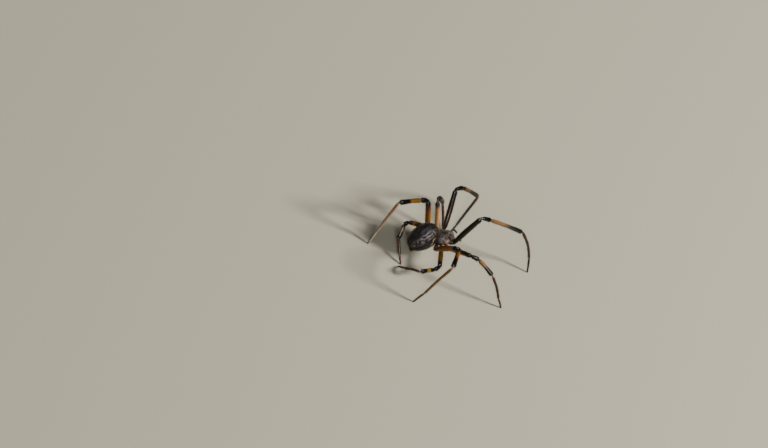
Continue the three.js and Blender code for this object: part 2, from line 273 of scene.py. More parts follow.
# Eyes: eight small glassy domes in two rows across the head, each sunk in a low dark
# collar of horn. How far it is sunk and the collar's sizes are in radii of the eye.
EYES = ((0.93, 0.1, 0.13), (0.86, 0.33, 0.12), (0.8, 0.11, 0.13), (0.74, 0.39, 0.12))
EYE_SUNK = 0.3
COLLAR_WIDE, COLLAR_NARROW, COLLAR_TALL, COLLAR_RAISED = 1.5, 0.95, 0.8, 0.12
HEAD_MIDDLE = on_body(CARAPACE_MIDDLE + 1.4, 0.0, CARAPACE_RIM + 0.2)
eye_finish = finish(
    "eye_glass", "0b0807", 0.1, 4000.0, 0.001, {"Coat Weight": 1.0, "IOR": 1.5}
)
collar_finish = finish("eye_collar_horn", "17100d", 0.4, 12000.0, 0.01)
domes = bmesh.new()
collars = bmesh.new()
for side in (1, -1):
    for ahead, aside, radius in EYES:
        height = math.sqrt(max(0.0, (1 - ahead ** 2) * (1 - aside ** 2)))
        unit = Vector((ahead, side * aside, height)).normalized()
        centre = on_body(*carapace_spot(unit))
        outward = (centre - HEAD_MIDDLE).normalized()
        sunk = centre - outward * radius * EYE_SUNK * MM
        place = Matrix.Translation(sunk)
        bmesh.ops.create_icosphere(domes, subdivisions=3, radius=radius * MM, matrix=place)
        turn = UP.rotation_difference(outward).to_matrix().to_4x4()
        place = Matrix.Translation(sunk + outward * radius * COLLAR_RAISED * MM)
        bmesh.ops.create_cone(
            collars, cap_ends=True, segments=20, radius1=radius * COLLAR_WIDE * MM,
            radius2=radius * COLLAR_NARROW * MM, depth=radius * COLLAR_TALL * MM,
            matrix=place @ turn,
        )
settle("eyes", domes, eye_finish)
settle("eye_collars", collars, collar_finish)


# Sternum and mouth plates: the heart-shaped plate under the body between the leg roots,
# with the lip and the two plates of the feelers' roots ahead of it. Dark satin horn.
plate_finish = finish(
    "sternum_horn", "2b1a13", 0.36, 8000.0, 0.015, {"Coat Weight": 0.2}
)
MOUTH_PLATES = (
    ((1.45, 0.0, -0.82), (0.34, 0.28, 0.15)),
    ((1.72, 0.34, -0.78), (0.5, 0.27, 0.17)),
    ((1.72, -0.34, -0.78), (0.5, 0.27, 0.17)),
)
plate = bmesh.new()
bmesh.ops.create_uvsphere(plate, u_segments=40, v_segments=18, radius=1.0)
for vert in plate.verts:
    x, y, z = vert.co
    notch = 1 - 0.07 * abs(math.sin(3 * math.atan2(y, x)))
    vert.co = on_body(1.4 * x, 0.98 * y * (1 + 0.28 * x) * notch, 0.19 * z - 0.82)
for middle, half in MOUTH_PLATES:
    lump = bmesh.ops.create_uvsphere(plate, u_segments=20, v_segments=12, radius=1.0)
    for vert in lump["verts"]:
        vert.co = on_egg(middle, half, vert.co)
settle("sternum_skin", plate, plate_finish, ["sternum"])


# Jaws: two short upright bases that hang from the front of the head, glossy dark brown,
# each with a curved fang folded in towards the other. The fangs are redder horn.
def next_ring(shape, edges):
    """Extrudes a ring of edges where it is, and gives the new corners and edges."""
    grown = bmesh.ops.extrude_edge_only(shape, edges=edges)["geom"]
    corners = {part for part in grown if isinstance(part, bmesh.types.BMVert)}
    edges = [
        part for part in grown
        if isinstance(part, bmesh.types.BMEdge) and corners.issuperset(part.verts)
    ]
    return [part for part in grown if part in corners], edges


def tube(shape, rings, sides):
    """A closed tube through rings of (centre, heading, radius, mark), each extruded from
    the one before. The mark is kept on the ring's corners for the material to read."""
    marks = shape.verts.layers.float.get("mark") or shape.verts.layers.float.new("mark")
    centre, heading, radius, mark = rings[0]
    turn = UP.rotation_difference(heading).to_matrix().to_4x4()
    ring = bmesh.ops.create_circle(
        shape, cap_ends=True, segments=sides, radius=radius,
        matrix=Matrix.Translation(centre) @ turn,
    )["verts"]
    edges = list({edge for vert in ring for edge in vert.link_edges})
    for vert in ring:
        vert[marks] = mark
    for after, ahead, wide, mark in rings[1:]:
        ring, edges = next_ring(shape, edges)
        move = Matrix.Translation(after)
        move = move @ heading.rotation_difference(ahead).to_matrix().to_4x4()
        move = move @ Matrix.Scale(wide / radius, 4) @ Matrix.Translation(-centre)
        bmesh.ops.transform(shape, matrix=move, verts=ring)
        for vert in ring:
            vert[marks] = mark
        centre, heading, radius = after, ahead, wide
    bmesh.ops.contextual_create(shape, geom=edges)


def bent_rings(points, radii, steps=10):
    """Rings for tube() along a smooth line through points in metres, with radii in
    millimetres at even shares of its length."""
    rings = []
    count = steps * (len(points) - 1)
    for i in range(count + 1):
        share = i / count
        place = share * (len(points) - 1)
        k = min(len(points) - 2, int(place))
        before = points[max(0, k - 1)]
        after = points[min(len(points) - 1, k + 2)]
        start, end, t = points[k], points[k + 1], place - k
        leave, arrive = (end - before) / 2, (after - start) / 2
        spot = (
            start * (2 * t ** 3 - 3 * t ** 2 + 1) + leave * (t ** 3 - 2 * t ** 2 + t)
            + end * (3 * t ** 2 - 2 * t ** 3) + arrive * (t ** 3 - t ** 2)
        )
        at = share * (len(radii) - 1)
        j = min(len(radii) - 2, int(at))
        radius = radii[j] + (radii[j + 1] - radii[j]) * (at - j)
        rings.append([spot, None, radius * MM, share])
    for i, ring in enumerate(rings):
        ahead = rings[min(i + 1, count)][0] - rings[max(i - 1, 0)][0]
        ring[1] = ahead.normalized()
    return rings


JAW_LINE = ((2.58, 0.37, 0.52), (2.74, 0.38, 0.1), (2.82, 0.36, -0.4), (2.8, 0.32, -0.92))
JAW_RADII = (0.18, 0.28, 0.31, 0.31, 0.28, 0.23, 0.12)
FANG_LINE = ((2.8, 0.36, -0.84), (2.84, 0.3, -1.08), (2.76, 0.22, -1.24), (2.68, 0.14, -1.32))
FANG_RADII = (0.11, 0.1, 0.08, 0.05, 0.012)
jaw_finish = finish("jaw_horn", "2a1a14", 0.27, 7000.0, 0.012, {"Coat Weight": 0.35})
fang_finish = finish("fang_horn", "3a120b", 0.18, 9000.0, 0.003, {"Coat Weight": 0.6})
for side, sign in (("left", 1), ("right", -1)):
    jaw = bmesh.new()
    points = [on_body(x, sign * y, z) for x, y, z in JAW_LINE]
    tube(jaw, bent_rings(points, JAW_RADII), 20)
    settle(f"jaw_{side}", jaw, jaw_finish, [f"chelicera_{side}"])
    fang = bmesh.new()
    points = [on_body(x, sign * y, z) for x, y, z in FANG_LINE]
    tube(fang, bent_rings(points, FANG_RADII), 12)
    settle(f"fang_{side}", fang, fang_finish)


# Feelers: the two short six-jointed palps that stand forward beside the jaws and bend
# down at their tips, brown with paler joints.
PALP_POINTS = (
    (1.75, 0.72, -0.35), (2.2, 0.92, -0.12), (2.75, 1.22, 0.42), (3.3, 1.34, 0.46),
    (3.75, 1.3, 0.12), (4.2, 1.12, -0.55),
)
PALP_RADII = (
    0.16, 0.17, 0.13, 0.18, 0.19, 0.13, 0.2, 0.2, 0.14, 0.2, 0.21, 0.14, 0.21, 0.17, 0.05
)


def palp_brown(wire):
    """Brown horn with a thin pale ring at each of the last three joints."""
    mark = wire.kept("mark")
    joint = mark.near(0.41, 0.03).maths("MAXIMUM", mark.near(0.62, 0.03))
    joint = joint.maths("MAXIMUM", mark.near(0.79, 0.03))
    return joint.blend(tint("2c1d15"), tint("7c5a44"))


palp_finish = finish("palp_horn", None, 0.34, 9000.0, 0.012, (), palp_brown)
palp_lines = {}
for side, sign in (("left", 1), ("right", -1)):
    palp = bmesh.new()
    points = [on_body(x, sign * y, z) for x, y, z in PALP_POINTS]
    palp_lines[side] = bent_rings(points, PALP_RADII, 9)
    tube(palp, palp_lines[side], 16)
    settle(f"palp_{side}_skin", palp, palp_finish, [f"palp_{side}"])


# Pedicel: the short bare waist that joins the two halves of the body, ringed and bent
# a little upwards, of the breast plate's dark satin horn.
WAIST_LINE = ((-1.45, 0.0, 0.05), (-1.75, 0.0, 0.0), (-2.1, 0.0, 0.03), (-2.75, 0.0, 0.25))
WAIST_RADII = (0.34, 0.24, 0.3, 0.22, 0.34)
waist = bmesh.new()
points = [on_body(*spot) for spot in WAIST_LINE]
tube(waist, bent_rings(points, WAIST_RADII, 8), 20)
settle("pedicel_skin", waist, plate_finish, ["pedicel"])


# Abdomen: a taut, finely wrinkled egg with its front end lifted, brown-black with grey
# mottling and a painted lilac-grey highlight along the upper flanks, a thin broken pale
# line on each side, pale flecks near the tail and the red hourglass underneath. Three
# pairs of muscle dimples mark the back.
ABDOMEN_MIDDLE = Vector((-4.68, 0.0, 4.4)) + BODY_PLACE
ABDOMEN_LONG = 3.7
ABDOMEN_WIDE = 2.54
TILT = math.radians(50)
ABDOMEN_AXIS = Vector((math.cos(TILT), 0.0, math.sin(TILT)))
ABDOMEN_UP = Vector((-math.sin(TILT), 0.0, math.cos(TILT)))
ABDOMEN_SIDE = Vector((0.0, 1.0, 0.0))
ABDOMEN_LEAN = (0.0, -TILT, 0.0)
DIMPLES = ((0.42, 0.3), (-0.02, 0.26), (-0.35, 0.2))
HOURGLASS_PLACE = -0.12


def abdomen_spot(share, around):
    """A place on the abdomen in metres, by share of its length and angle from the top."""
    across = math.sqrt(max(0.0, 1 - share * share))
    swell = 1 + 0.08 * share
    radius = ABDOMEN_WIDE * across * swell
    under = bell(abs(around), math.pi, 0.9)
    dent = 0.09 * bell(share, 0.42, 0.05) * under
    for place, aside in DIMPLES:
        dent += 0.07 * bell(share, place, 0.05) * bell(abs(around), aside, 0.11)
    spot = ABDOMEN_MIDDLE + ABDOMEN_AXIS * (ABDOMEN_LONG * share)
    out = ABDOMEN_UP * math.cos(around) + ABDOMEN_SIDE * math.sin(around)
    wrinkle = noise.noise(Vector((share * 9, around * 3, 4.0))) * 0.02
    return (spot + out * (radius - dent * across + wrinkle * across)) * MM


def side_line(share):
    """The angle from the top at which the thin pale side line runs, along the length."""
    turned_out = (0.3 - share).maths("MAXIMUM", 0.0)
    return 1.38 + (0.67 - share) * 0.55 + turned_out * turned_out * 3.0


def pale_marks(wire, share, around, worn, wobble):
    """How pale the skin is at the side line, two slanting bars below it and the flecks."""
    curl = (share * 17.0).maths("SINE") * 0.06
    line = (around - side_line(share) + curl + wobble * 0.5).near(0.0, 0.055)
    line = line * share.near(0.39, 0.33) * worn.rise(0.36, 0.46)
    slant = share + around * 0.3 + wobble * 0.4
    bars = slant.near(0.33, 0.035).maths("MAXIMUM", slant.near(-0.02, 0.03))
    bars = bars * around.rise(1.2, 1.4) * (1 - around.rise(1.9, 2.1))
    bars = bars * worn.rise(0.46, 0.58)
    flecks = wire.speckle(5200.0, 1.0).rise(0.66, 0.74) * (1 - share.rise(-0.5, 0.0))
    return line.maths("MAXIMUM", bars * 0.55).maths("MAXIMUM", flecks * 0.5)


def hourglass(share, around, wobble):
    """One inside the hourglass, two triangles that meet at a narrow waist."""
    length = (share - HOURGLASS_PLACE).maths("ABSOLUTE")
    half = 0.1 + length * 1.25
    inside = (around - (math.pi - half) + wobble * 0.7).rise(-0.03, 0.03)
    return inside * (1 - (length + wobble * 0.2).rise(0.3, 0.33))


def widow_black(wire):
    """Brown-black with a painted lilac-grey highlight on the upper flanks and the pale and
    red markings, each worn and broken at its edges.
    """
    share = wire.kept("share")
    around = wire.kept("around")
    worn = wire.speckle(1700.0, 4.0)
    wobble = (worn - 0.5) * 0.16
    rust = share.rise(0.45, 0.98) * (around + wobble).near(1.3, 0.5) * 0.8
    base = rust.blend(tint("0e0b08"), tint("1f0c07"))
    streaks = wire.speckle(1500.0, 4.0, (3, 1, 1), ABDOMEN_LEAN).rise(0.5, 0.64) * 0.6
    base = streaks.blend(base, tint("4a3c30"))
    # Painted highlight: lilac-grey patches along the upper flanks, where the light's sheen
    # falls, partly the skin's own grey mottling.
    mottling_and_painted_sheen = around.near(0.78, 0.45) * share.near(-0.05, 1.1)
    mottling_and_painted_sheen = mottling_and_painted_sheen * wire.speckle(2200.0, 4.0, (1.6, 1, 1), ABDOMEN_LEAN).rise(0.47, 0.58)
    base = (mottling_and_painted_sheen * 0.8).blend(base, tint("93888f"))
    base = pale_marks(wire, share, around, worn, wobble).blend(base, tint("a89074"))
    tail = share.near(-0.77, 0.06) * (around + wobble).near(1.6, 0.2) * worn.rise(0.3, 0.5)
    base = (tail * 0.8).blend(base, tint("b08a52"))
    return hourglass(share, around, wobble).blend(base, tint("b3140c"))


def lengthwise(wire):
    """Fine folds of the taut skin that run from the waist to the tail."""
    folds = wire.speckle(5200.0, 4.0, (5, 1, 1), ABDOMEN_LEAN)
    puckers = wire.speckle(2400.0, 3.0, (2.2, 1, 1), ABDOMEN_LEAN)
    return folds * 0.8 + puckers * 3.2 + wire.speckle(1200.0, 2.0) * 1.5


egg_finish = finish(
    "abdomen_cuticle", None, 0.4, 6500.0, 0.17, {"Specular IOR Level": 0.3},
    widow_black, lengthwise,
)
egg = bmesh.new()
egg_share = egg.verts.layers.float.new("share")
egg_around = egg.verts.layers.float.new("around")
bmesh.ops.create_uvsphere(egg, u_segments=120, v_segments=84, radius=1.0)
for vert in egg.verts:
    share = max(-1.0, min(1.0, vert.co.z))
    around = math.atan2(vert.co.y, vert.co.x)
    vert[egg_share] = share
    vert[egg_around] = abs(around)
    vert.co = abdomen_spot(share, around)
settle("abdomen_skin", egg, egg_finish, ["abdomen"])


# Spinnerets: three pairs of two-jointed cones on a low ring, a little under the tail end,
# with the vent cone above them. Dark brown, rough, with paler tips.
SPIN_PLACE = math.radians(22)
SPIN_AIM = math.radians(24)
SPIN_BASE = Vector(abdomen_spot(-math.cos(SPIN_PLACE), math.pi)) / MM
SPIN_DOWN = -ABDOMEN_AXIS * math.cos(SPIN_AIM) - ABDOMEN_UP * math.sin(SPIN_AIM)
SPIN_UP = ABDOMEN_SIDE.cross(SPIN_DOWN)
SPIN_RING = (0.74, 0.66, 0.58, 0.42, 0.2)
VENT_RADII = (0.14, 0.13, 0.1, 0.05)
CONES = ((-0.24, 0.23, 0.6, 0.18), (0.0, 0.13, 0.42, 0.1), (0.19, 0.25, 0.54, 0.14))
CONE_TAPER = (1, 1.08, 0.98, 0.82, 0.86, 0.7, 0.4)


def spinneret_brown(wire):
    """Dark brown horn, paler towards the tips."""
    return wire.kept("mark").rise(0.6, 1.0).blend(tint("2d1f18"), tint("7a5c47"))


def spin_line(up, aside, start, length):
    """Four points down the middle of a cone that stands on the tail end."""
    root = SPIN_BASE + SPIN_UP * up + ABDOMEN_SIDE * aside + SPIN_DOWN * start
    return [(root + SPIN_DOWN * (length * i / 3)) * MM for i in range(4)]


spinneret_finish = finish("spinneret_horn", None, 0.5, 9000.0, 0.02, (), spinneret_brown)
cluster = bmesh.new()
tube(cluster, bent_rings(spin_line(0, 0, -0.12, 0.42), SPIN_RING, 5), 28)
for sign in (1, -1):
    for up, aside, length, radius in CONES:
        line = spin_line(up, sign * aside, 0.2, length)
        sizes = [radius * taper for taper in CONE_TAPER]
        tube(cluster, bent_rings(line, sizes, 6), 14)
tube(cluster, bent_rings(spin_line(0.42, 0, 0.1, 0.32), VENT_RADII, 4), 14)
settle("spinneret_skin", cluster, spinneret_finish, ["spinnerets"])


# Legs: four pairs, each a chain of coxa with its trochanter ring, femur, patella, tibia,
# metatarsus and tarsus in one skin. The hard shell of each length is smooth and glossy,
# orange to brown with black ends, and narrows to soft skin at every joint.
# Of each pair: the coxa's inner end, then the lengths and radii of the other five
# segments, in millimetres.
PAIRS = (
    ((1.22, 1.02), (8.8, 2.2, 7.6, 8.4, 3.3), (0.57, 0.48, 0.45, 0.28, 0.21)),
    ((0.42, 1.24), (6.9, 1.85, 4.4, 5.6, 2.3), (0.51, 0.5, 0.47, 0.26, 0.2)),
    ((-0.42, 1.24), (5.6, 1.55, 3.3, 3.85, 1.9), (0.51, 0.47, 0.45, 0.25, 0.2)),
    ((-1.2, 1.04), (8.0, 1.9, 5.35, 8.25, 3.1), (0.58, 0.53, 0.51, 0.28, 0.22)),
)
# Of each leg: the hip, the five swings from straight ahead, the five lifts, with None for
# the one that brings the foot to the floor, and how far the metatarsus bows.
POSES = {
    "left_1": ((1.7, 2.3), (64, 14, 10, 217, 216), (47, -10, -36, None, -35), 0.12),
    "left_2": ((0.1, 2.85), (117, 45, 28, 279, 249), (68, -15, -49, None, -36), 0.1),
    "left_3": ((-0.8, 2.95), (161, 206, 233, 258, 266), (8, 5, -32, None, -34), 0.1),
    "left_4": ((-2.4, 2.05), (112, 182, 180, 202, 211), (66, 11, -3, None, -56), 0.14),
    "right_1": ((1.95, 1.85), (2, 14, 24, 15, 82), (64, -6, -8, None, -66), 0.4),
    "right_2": ((0.5, 2.7), (72, 48, 63, 52, 46), (32, 5, -11, None, -56), 0.25),
    "right_3": ((-1.0, 2.6), (118, 157, 181, 234, 255), (3, -4, -7, None, -37), 0.14),
    "right_4": ((-2.5, 2.25), (80, 111, 127, 172, 186), (49, 34, -3, None, -59), 0.14),
}
BOWS = (0.0, 0.12, 0.06, 0.12, None, 0.06)
JOINT_GAP = 0.22
COXA_RADIUS = 0.38
SHELL_END = 0.62
SOFT_SKIN = 0.56
SEGMENTS = ("coxa", "femur", "patella", "tibia", "metatarsus", "tarsus")
OUTLINES = (
    ((0.0, 0.62), (0.1, 0.8), (0.28, 0.98), (0.45, 1.04), (0.6, 1.0), (0.68, 0.84),
     (0.74, 0.9), (0.84, 0.97), (0.93, 0.88), (1.0, 0.62)),
    ((0.0, 0.6), (0.015, 0.7), (0.035, 0.75), (0.1, 0.84), (0.2, 0.94), (0.3, 1.0),
     (0.45, 1.03), (0.6, 1.02), (0.75, 0.98), (0.85, 0.94), (0.92, 0.95), (0.955, 0.96),
     (0.98, 0.88), (1.0, 0.62)),
    ((0.0, 0.62), (0.06, 0.84), (0.14, 0.9), (0.3, 0.9), (0.6, 1.01), (0.82, 1.04),
     (0.93, 1.0), (0.97, 0.9), (1.0, 0.64)),
    ((0.0, 0.62), (0.02, 0.84), (0.05, 0.94), (0.1, 0.95), (0.25, 0.9), (0.4, 0.88),
     (0.6, 0.92), (0.78, 1.02), (0.88, 1.07), (0.95, 1.04), (0.98, 0.92), (1.0, 0.64)),
    ((0.0, 0.66), (0.02, 0.92), (0.05, 1.06), (0.12, 1.08), (0.25, 1.02), (0.4, 0.98),
     (0.6, 0.95), (0.8, 0.93), (0.93, 0.95), (0.975, 0.94), (1.0, 0.66)),
    ((0.0, 0.66), (0.03, 0.9), (0.08, 1.0), (0.2, 1.0), (0.35, 0.95), (0.5, 0.9),
     (0.7, 0.82), (0.85, 0.74), (0.95, 0.66), (1.0, 0.5)),
)


def leg_points(pair, pose, sign):
    """Joints of one leg in metres, from the inner end of the coxa to the foot."""
    inner, lengths, _ = pair
    hip, swings, lifts, _ = pose
    points = [on_body(inner[0], sign * inner[1], 0), on_body(hip[0], sign * hip[1], 0)]
    sinks = [
        length * math.sin(math.radians(lift or 0)) for length, lift in zip(lengths, lifts)
    ]
    fall = points[1].z / MM + sum(sinks)
    for length, swing, lift in zip(lengths, swings, lifts):
        lift = -math.asin(fall / length) if lift is None else math.radians(lift)
        swing = math.radians(swing)
        step = Vector((
            math.cos(lift) * math.cos(swing),
            sign * math.cos(lift) * math.sin(swing),
            math.sin(lift),
        ))
        points.append(points[-1] + step * length * MM)
    return points


def trim(points, joint, radius):
    """How far a shell stops short of a joint, so that bent neighbours stay clear."""
    into = points[joint] - points[joint - 1]
    out = points[joint + 1] - points[joint]
    return (JOINT_GAP / 2 + SHELL_END * radius * math.tan(into.angle(out) / 2)) * MM


def leg_rings(pair, points, arc):
    """Rings of the whole leg's skin, marked with segment number plus share along it."""
    radii = (COXA_RADIUS,) + pair[2]
    rings = []
    for k, radius in enumerate(radii):
        start, end = points[k], points[k + 1]
        along = (end - start).normalized()
        if k > 0:
            start = start + along * trim(points, k, radius)
        if k < 5:
            end = end - along * trim(points, k + 1, radius)
        square = (UP - along * along.z).normalized()
        lift = square * (arc if BOWS[k] is None else BOWS[k]) * MM
        for share, wide in OUTLINES[k]:
            spot = start.lerp(end, share) + lift * math.sin(math.pi * share)
            slope = lift * (math.pi * math.cos(math.pi * share))
            heading = (end - start + slope).normalized()
            rings.append((spot, heading, wide * radius * MM, k + share * 0.96 + 0.02))
        if k < 5:
            ahead = (points[k + 2] - points[k + 1]).normalized()
            soft = SOFT_SKIN * min(radius, radii[k + 1]) * MM
            rings.append((points[k + 1], (along + ahead).normalized(), soft, k + 1.0))
    return rings


BLACK, COAL, BROWN, OLIVE = "080605", "110d0b", "341e13", "1f1a11"
# The second left femur's pale peach is orange with a painted highlight where the light falls
# on it.
ORANGE, PEACH_PAINTED_SHEEN, YELLOW, RUST = "82520f", "c4935c", "8c6a1e", "4a2110"
# The pale soft skin at the tibia's end on four legs is set only where these joints glint:
# partly real skin, partly painted highlight.
PALE_JOINT_AND_GLINT = "6e5a4c"
LEG_BANDS = {
    "left_1": (
        (0.0, OLIVE), (1.1, OLIVE), (1.4, "2c150d"), (1.75, "20110b"), (1.9, BLACK),
        (3.06, BLACK), (3.12, "4c2d12"), (3.36, "50301a"), (3.46, BLACK), (3.95, BLACK),
        (4.0, PALE_JOINT_AND_GLINT), (4.05, "4c382c"), (4.3, "2c2017"), (5.9, "241a13"),
    ),
    "right_1": (
        (0.0, OLIVE), (1.9, "1f1b14"), (1.95, BLACK), (2.9, BLACK), (3.02, "5a3a1c"),
        (3.08, "80582c"), (3.4, "7c5c36"), (3.52, "54422e"), (3.62, "201b16"), (3.95, BLACK),
        (4.05, BROWN), (4.5, "2a1912"), (5.9, "1f1510"),
    ),
    "left_2": (
        (0.0, BROWN), (1.05, PEACH_PAINTED_SHEEN), (1.75, "a07448"), (1.86, "4a3a38"), (1.94, COAL),
        (2.9, COAL), (3.2, "1a0f0a"), (3.6, "341c12"), (3.7, COAL), (3.95, COAL),
        (4.05, "4a2e20"), (5.9, "3d281c"),
    ),
    "right_2": (
        (0.0, BROWN), (1.05, ORANGE), (1.45, "723e0f"), (1.62, RUST), (1.78, "3a190d"),
        (1.84, BLACK), (2.97, BLACK), (3.06, "8c5c22"), (3.45, "865226"), (3.56, BLACK),
        (3.95, BLACK), (4.03, PALE_JOINT_AND_GLINT), (4.08, "3f2418"), (4.6, "352016"), (5.9, "281a12"),
    ),
    "left_3": (
        (0.0, BROWN), (1.05, ORANGE), (1.84, "8a5c14"), (1.91, BLACK), (3.24, COAL),
        (3.3, YELLOW), (3.54, YELLOW), (3.6, COAL), (3.95, BLACK), (4.06, "7a4f1c"),
        (4.5, "5c4420"), (4.95, "4a3320"), (5.05, "5a2c1f"), (5.9, "52291f"),
    ),
    "right_3": (
        (0.0, BROWN), (1.05, "8e661a"), (1.6, "80601c"), (1.76, "5e3a0e"), (1.84, BLACK),
        (3.3, BLACK), (3.35, "7c5e1e"), (3.56, "745418"), (3.61, BLACK), (3.96, BLACK),
        (4.05, "4a2a1a"), (5.1, "301d15"), (5.9, "221611"),
    ),
    # Its metatarsus and tarsus grade to pale grey, paler than the right one's: partly painted
    # highlight.
    "left_4": (
        (0.0, BROWN), (1.05, ORANGE), (1.45, "7a4c10"), (1.7, "5e3610"), (1.8, "45200f"),
        (1.92, "200f0a"), (1.96, BLACK), (3.03, BLACK), (3.08, "5e4010"), (3.5, "664614"),
        (3.56, BLACK), (3.97, BLACK), (4.02, PALE_JOINT_AND_GLINT), (4.06, "86583a"), (4.4, "8e6a50"),
        (4.75, "907a64"), (5.0, "978979"), (5.9, "a09685"),
    ),
    "right_4": (
        (0.0, BROWN), (0.95, "2c1a12"), (1.12, "3a2414"), (1.26, "704812"), (1.86, "7c470e"),
        (1.92, BLACK), (3.1, BLACK), (3.16, "70440f"), (3.42, "6a3c10"), (3.55, BLACK),
        (3.96, BLACK), (4.0, PALE_JOINT_AND_GLINT), (4.05, "6c4c2a"), (4.8, "6c5434"), (5.2, "5e4a32"),
        (5.9, "4a3a2a"),
    ),
}


def leg_paint(bands, darker=None):
    """Colour along a leg from its bands, each a segment number plus a share along it."""
    def paint(wire):
        stops = [(place / len(SEGMENTS), tint(code)) for place, code in bands]
        along = wire.kept("mark") / len(SEGMENTS)
        ramp = wire.node("ShaderNodeValToRGB", {"stops": stops}, {"Fac": along})
        return wire.mix(1.0, ramp, darker, "MULTIPLY") if darker else ramp
    return paint


SHELL_GLOSS = {"Specular IOR Level": 0.22, "Coat Weight": 0.22, "Coat Roughness": 0.12}
legs = {}
for number, pair in enumerate(PAIRS, 1):
    for side, sign in (("left", 1), ("right", -1)):
        leg = f"{side}_{number}"
        points = leg_points(pair, POSES[leg], sign)
        legs[leg] = (points, leg_rings(pair, points, POSES[leg][3]))
        shell = bmesh.new()
        tube(shell, legs[leg][1], 20)
        for vert in shell.verts:
            vert.co.z = max(0.0, vert.co.z)
        shell_finish = finish(
            f"leg_{leg}_shell", None, 0.3, 6500.0, 0.012, SHELL_GLOSS,
            leg_paint(LEG_BANDS[leg]),
        )
        settle(
            f"leg_{leg}_skin", shell, shell_finish,
            [f"leg_{leg}_{segment}" for segment in SEGMENTS],
        )


# Claws: each foot ends in two curved claws and a smaller hooked one between them, of
# black horn, folded down on the tip of the tarsus.
CLAWS = ((0.07, 0.26), (-0.07, 0.26), (0.0, 0.18))
CLAW_RADII = (0.035, 0.03, 0.022, 0.006)
claw_finish = finish("claw_horn", "120c0a", 0.25, 9000.0, 0.002, {"Coat Weight": 0.4})
claws = bmesh.new()
for points, _ in legs.values():
    tip = points[6]
    along = (points[6] - points[5]).normalized()
    across = along.cross(UP).normalized()
    flat = Vector((along.x, along.y, 0)).normalized()
    for aside, reach in CLAWS:
        root = tip - along * 0.22 * MM + across * aside * MM
        line = [
            root,
            root + (along * 0.1 + UP * 0.06 + across * aside * 0.4) * MM,
            root + (along * 0.16 + flat * reach * 0.5 + across * aside * 0.6) * MM,
            root + (along * 0.18 + flat * reach * 0.6 + across * aside * 0.7) * MM,
        ]
        for spot in line:
            spot.z = max(spot.z, 0.03 * MM)
        tube(claws, bent_rings(line, CLAW_RADII, 4), 7)
for vert in claws.verts:
    vert.co.z = max(0.002 * MM, vert.co.z)
settle("claws", claws, claw_finish)


# Hairs: short curved bristles that lean towards the feet on the legs and towards the tail
# on the body. Each is a thin bent cone, and each bunch is one mesh.
random.seed(41)


def bristle_shape():
    """Corners and faces of one bristle of unit length on a root of unit radius."""
    shape = bmesh.new()
    ring = bmesh.ops.create_circle(shape, cap_ends=True, segments=3, radius=1.0)["verts"]
    edges = list({edge for vert in ring for edge in vert.link_edges})
    for height, wide in ((0.5, 0.62), (1.0, 0.0)):
        ring, edges = next_ring(shape, edges)
        for vert in ring:
            flat = Vector((vert.co.x, vert.co.y, 0)).normalized() * wide
            vert.co = Vector((flat.x, flat.y, height))
    bmesh.ops.remove_doubles(shape, verts=shape.verts, dist=1e-6)
    bmesh.ops.recalc_face_normals(shape, faces=shape.faces)
    shape.verts.index_update()
    corners = np.array([vert.co[:] for vert in shape.verts])
    faces = [[vert.index for vert in face.verts] for face in shape.faces]
    shape.free()
    return corners, faces


BRISTLE, BRISTLE_FACES = bristle_shape()
BRISTLE_CURL = 0.45
BRISTLE_PATCH = 0.0015
FLOOR_CLEAR = 0.004


def coat(name, hairs, material):
    """One mesh of many bristles, each (root, lean, curl, length, radius, mark, patch)
    with its length and radius in millimetres and its patch on the UV map."""
    count = len(BRISTLE)
    corners = np.zeros((len(hairs) * count, 3))
    marks = np.zeros((len(hairs) * count, 2))
    middles = np.zeros((len(hairs), 2))
    for i, (root, lean, curl, length, radius, mark, patch) in enumerate(hairs):
        side = lean.orthogonal().normalized()
        across = np.array([side[:], lean.cross(side)[:]]) * radius * MM
        span = np.outer(BRISTLE[:, 2] * length * MM, lean)
        bend = np.outer(BRISTLE[:, 2] ** 2 * length * BRISTLE_CURL * MM, curl)
        spots = np.array(root[:]) + BRISTLE[:, :2] @ across + span + bend
        corners[i * count:(i + 1) * count] = spots
        marks[i * count:(i + 1) * count] = mark
        middles[i] = patch
    corners[:, 2] = np.maximum(corners[:, 2], FLOOR_CLEAR * MM)
    faces = [
        [i * count + corner for corner in face]
        for i in range(len(hairs)) for face in BRISTLE_FACES
    ]
    mesh = bpy.data.meshes.new(name)
    mesh.from_pydata(corners.tolist(), [], faces)
    for column, key in ((0, "mark"), (0, "share"), (1, "around")):
        layer = mesh.attributes.new(key, "FLOAT", "POINT")
        layer.data.foreach_set("value", marks[:, column].copy())
    loops = np.zeros(len(mesh.loops), dtype=np.int32)
    mesh.loops.foreach_get("vertex_index", loops)
    local = BRISTLE[loops % count]
    offset = np.stack([local[:, 0], local[:, 2] * 2 - 1 + local[:, 1] * 0.3], axis=1)
    places = middles[loops // count] + offset * BRISTLE_PATCH
    mesh.uv_layers.new(name="OFBake").data.foreach_set("uv", places.ravel())
    mesh.validate()
    piece = bpy.data.objects.new(name, mesh)
    bpy.context.scene.collection.objects.link(piece)
    piece.data.materials.append(material)
    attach(piece, "root")


